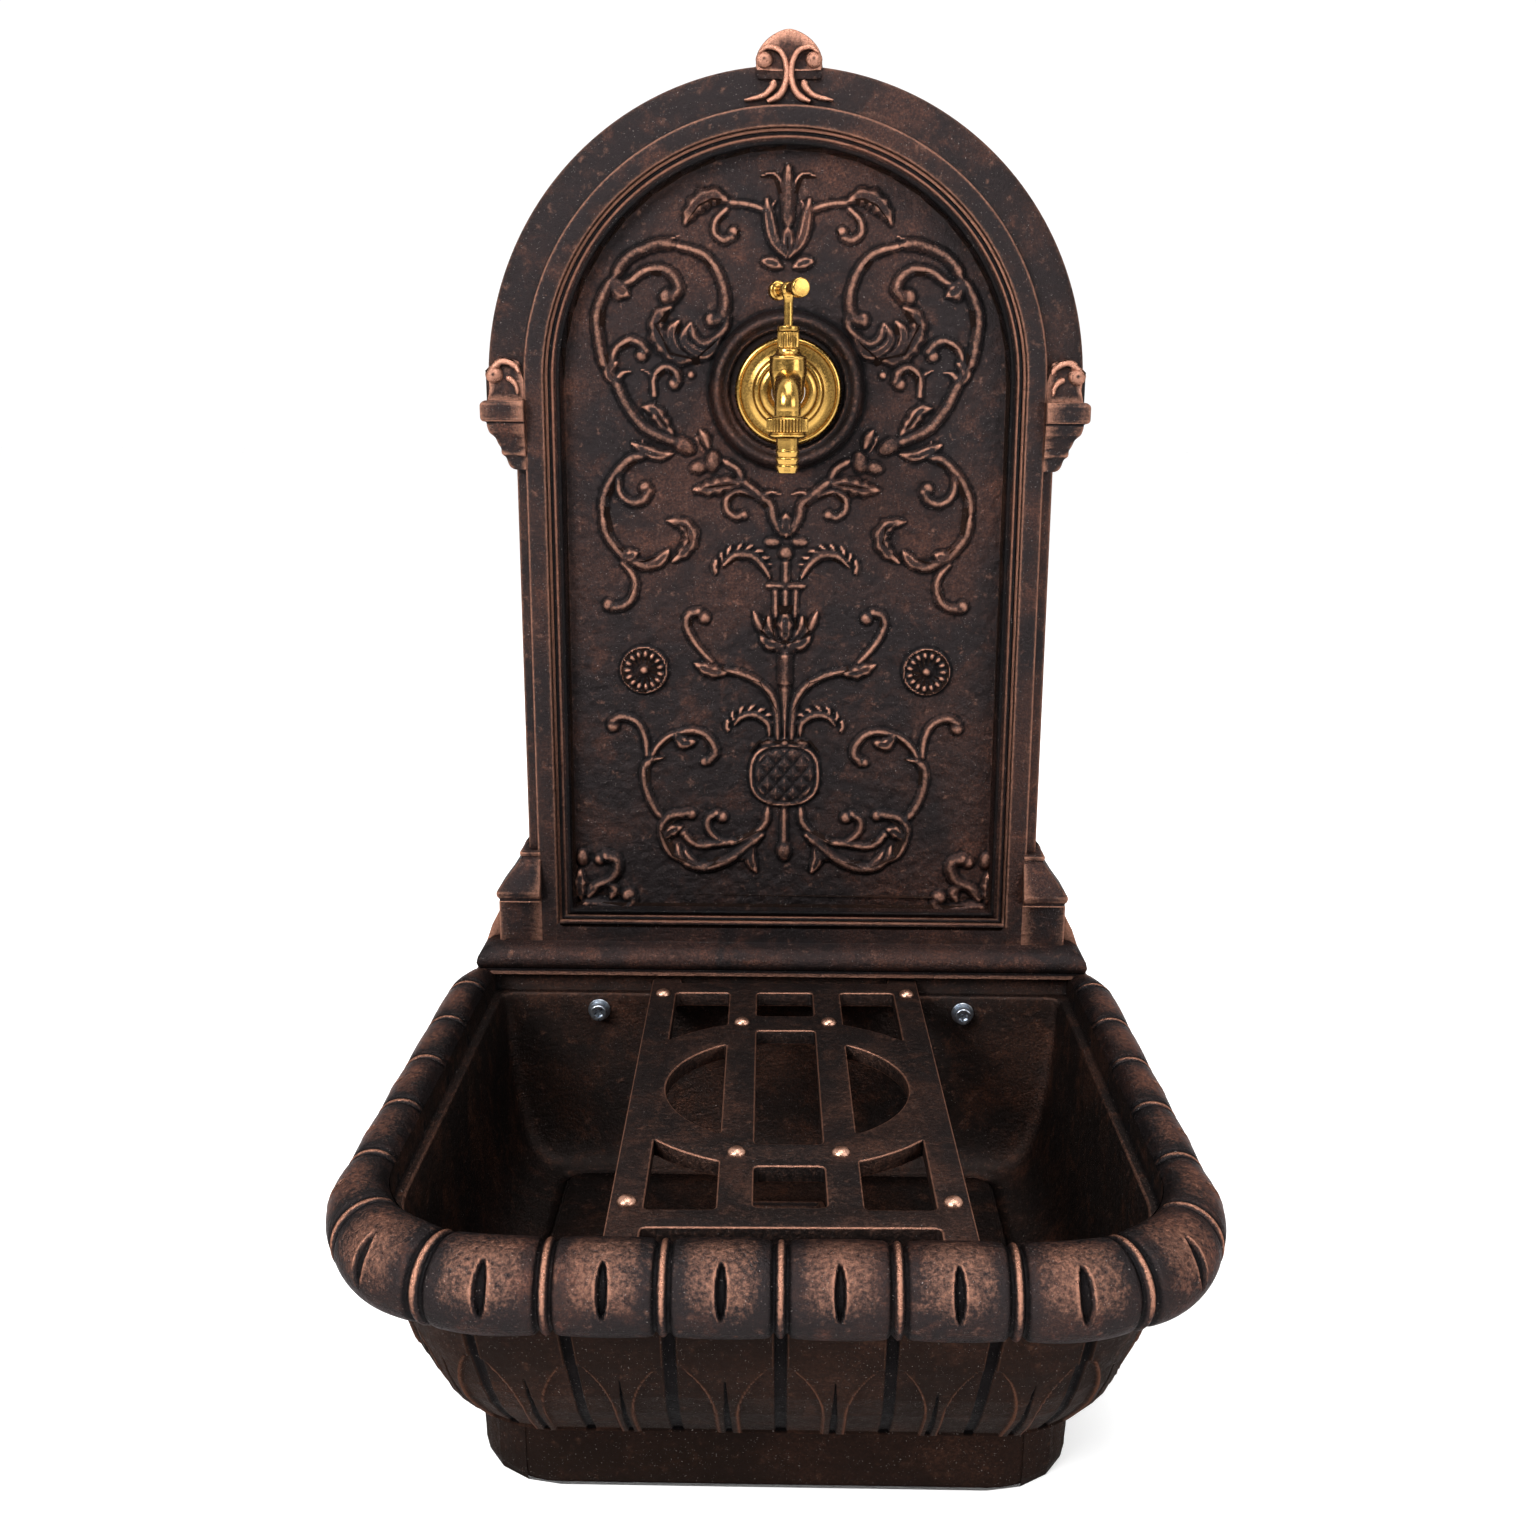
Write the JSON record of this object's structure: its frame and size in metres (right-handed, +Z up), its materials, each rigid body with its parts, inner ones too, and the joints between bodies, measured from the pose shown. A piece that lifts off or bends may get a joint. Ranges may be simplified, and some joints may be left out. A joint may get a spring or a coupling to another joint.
{
  "type": "wall fountain",
  "caption": "Cast wall fountain: arched back plate with scrolling relief, fluted basin on a flat foot, lift-out bucket grate and a brass garden tap.",
  "frame": {"origin": "middle of the bounding box's footprint, on the ground", "axes": "+Z up along the back plate, +Y towards the wall, +X to the right seen from the front"},
  "size_m": [0.409, 0.3911, 0.7337],
  "materials": {
    "bronze": "sand-cast aluminium with a dark bronze patina, rubbed to copper on the crests",
    "brass": "polished",
    "zinc": "zinc plated"
  },
  "bodies": {
    "fountain": {"back_plate": "bronze", "basin": "bronze", "grate": "bronze", "bolt_left": "zinc", "bolt_right": "zinc", "washer_left": "zinc", "washer_right": "zinc", "tap_flange": "brass", "tap_body": "brass", "tap_bonnet": "brass", "tap_gland_nut": "brass", "tap_union_nut": "brass", "tap_hose_tail": "brass"},
    "tap_handle": {"tap_handle": "brass"}
  },
  "joints": [
    {"name": "tap_handle_turn", "type": "hinge", "parent": "fountain", "child": "tap_handle", "pos_m": [0.002, 0.1327, 0.585], "axis": [0, 0, 1], "range_deg": [0, 540]}
  ]
}
